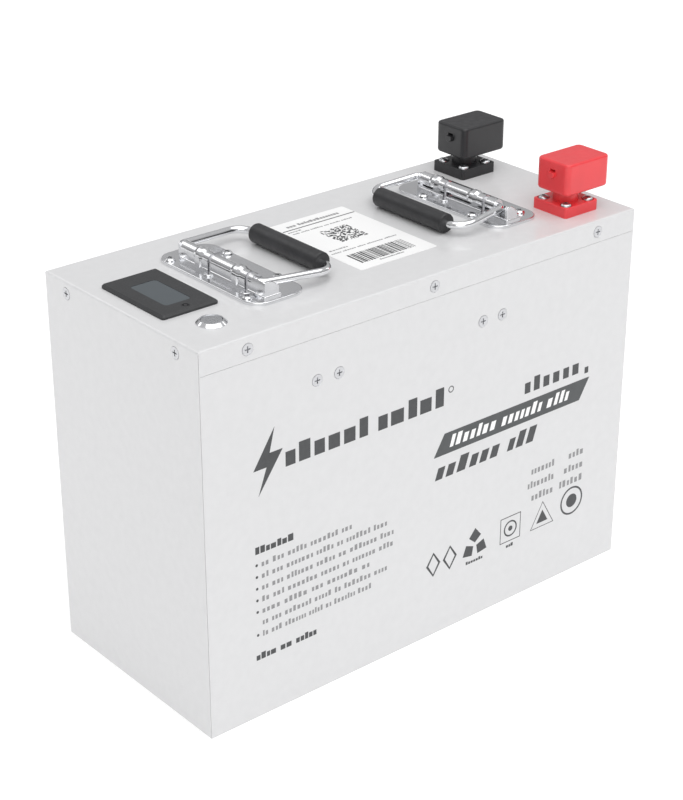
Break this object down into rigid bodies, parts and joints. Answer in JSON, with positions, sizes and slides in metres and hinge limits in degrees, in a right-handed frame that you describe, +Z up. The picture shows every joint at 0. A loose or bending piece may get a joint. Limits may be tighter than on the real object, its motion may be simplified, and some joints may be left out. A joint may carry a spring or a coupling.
{
  "type": "deep cycle battery",
  "caption": "Metal-cased deep cycle battery: a long white box with folding carry handles, a flush meter, a push button and capped stud terminals on its lid.",
  "frame": {"origin": "centre of the case's bottom face, midway along its length and width, on the surface it stands on", "axes": "+X along the length towards the terminals, -Y out of the printed front face, +Z up out of the lid"},
  "size_m": [0.362, 0.16, 0.3002],
  "materials": {
    "case_paint": "white powder coat, smooth semi-gloss",
    "zinc": "bright zinc plate",
    "chrome": "polished plating",
    "satin_steel": "satin stainless",
    "grip_rubber": "smooth satin rubber sleeve",
    "meter_plastic": "fine-textured black",
    "meter_glass": "clear, glossy",
    "lcd": "unlit grey-blue display",
    "key_rubber": "satin",
    "red_plastic": "glossy red moulding",
    "black_plastic": "semi-gloss black moulding",
    "brass": "machined",
    "copper": "bare copper",
    "label": "printed vinyl",
    "cell_wrap": "blue film wrap",
    "foam": "closed-cell foam",
    "pad_rubber": "matt rubber",
    "aluminium": "mill finish",
    "clear_sheet": "clear sheet",
    "board": "green solder mask",
    "cable": "black sheath"
  },
  "bodies": {
    "battery": {"case_body": "case_paint", "front_panel": "case_paint", "back_panel": "case_paint", "lid": "case_paint", "lid_screws": "zinc", "bar_screws_front": "zinc", "bar_screws_back": "zinc", "hold_down_bars": "zinc", "hold_down_pads": "pad_rubber", "rating_label": "label", "meter_bezel": "meter_plastic", "meter_window": "meter_glass", "meter_display": "lcd", "meter_board": "board", "button_housing": "chrome", "button_nut": "satin_steel", "button_switch": "meter_plastic", "cell_spacers": "foam", "end_plates": "aluminium", "straps": "satin_steel", "busbars": "copper", "busbar_nuts": "zinc", "pack_pad": "pad_rubber", "cover_sheet": "clear_sheet", "bms_board": "board", "bms_standoffs": "brass", "bms_heatsink": "aluminium", "positive_link": "copper", "bms_cable": "cable", "negative_cable": "cable", "left_hinge": "chrome", "left_springs": "satin_steel", "left_hinge_screws": "chrome", "right_hinge": "chrome", "right_springs": "satin_steel", "right_hinge_screws": "chrome", "positive_base": "red_plastic", "positive_stud": "brass", "positive_nut": "zinc", "positive_base_screws": "zinc", "negative_base": "black_plastic", "negative_stud": "brass", "negative_nut": "zinc", "negative_base_screws": "zinc", "cell_1": "cell_wrap", "cell_2": "cell_wrap", "cell_3": "cell_wrap", "cell_4": "cell_wrap", "cell_5": "cell_wrap", "cell_6": "cell_wrap", "cell_7": "cell_wrap", "cell_8": "cell_wrap"},
    "left_handle": {"left_bail": "chrome", "left_grip": "grip_rubber"},
    "right_handle": {"right_bail": "chrome", "right_grip": "grip_rubber"},
    "button": {"button_plunger": "satin_steel"},
    "key": {"meter_key": "key_rubber"},
    "positive_cap": {"positive_cover": "red_plastic"},
    "negative_cap": {"negative_cover": "black_plastic"}
  },
  "joints": [
    {"name": "left_handle_fold", "type": "hinge", "parent": "battery", "child": "left_handle", "pos_m": [-0.1057, 0, 0.2741], "axis": [0, -1, 0], "range_deg": [0, 90], "stiffness_Nm_per_rad": 0.08, "springref_deg": -34.38},
    {"name": "right_handle_fold", "type": "hinge", "parent": "battery", "child": "right_handle", "pos_m": [0.0946, 0, 0.2741], "axis": [0, 1, 0], "range_deg": [0, 90], "stiffness_Nm_per_rad": 0.08, "springref_deg": -34.38},
    {"name": "button_press", "type": "slide", "parent": "battery", "child": "button", "axis": [0, 0, -1], "range_m": [0, 0.0015], "stiffness_N_per_m": 500, "springref_m": -0.002},
    {"name": "key_press", "type": "slide", "parent": "battery", "child": "key", "axis": [0, 0, -1], "range_m": [0, 0.0004], "stiffness_N_per_m": 800, "springref_m": -0.0006},
    {"name": "positive_cap_lift", "type": "slide", "parent": "battery", "child": "positive_cap", "axis": [0, 0, 1], "range_m": [0, 0.06]},
    {"name": "negative_cap_lift", "type": "slide", "parent": "battery", "child": "negative_cap", "axis": [0, 0, 1], "range_m": [0, 0.06]}
  ]
}
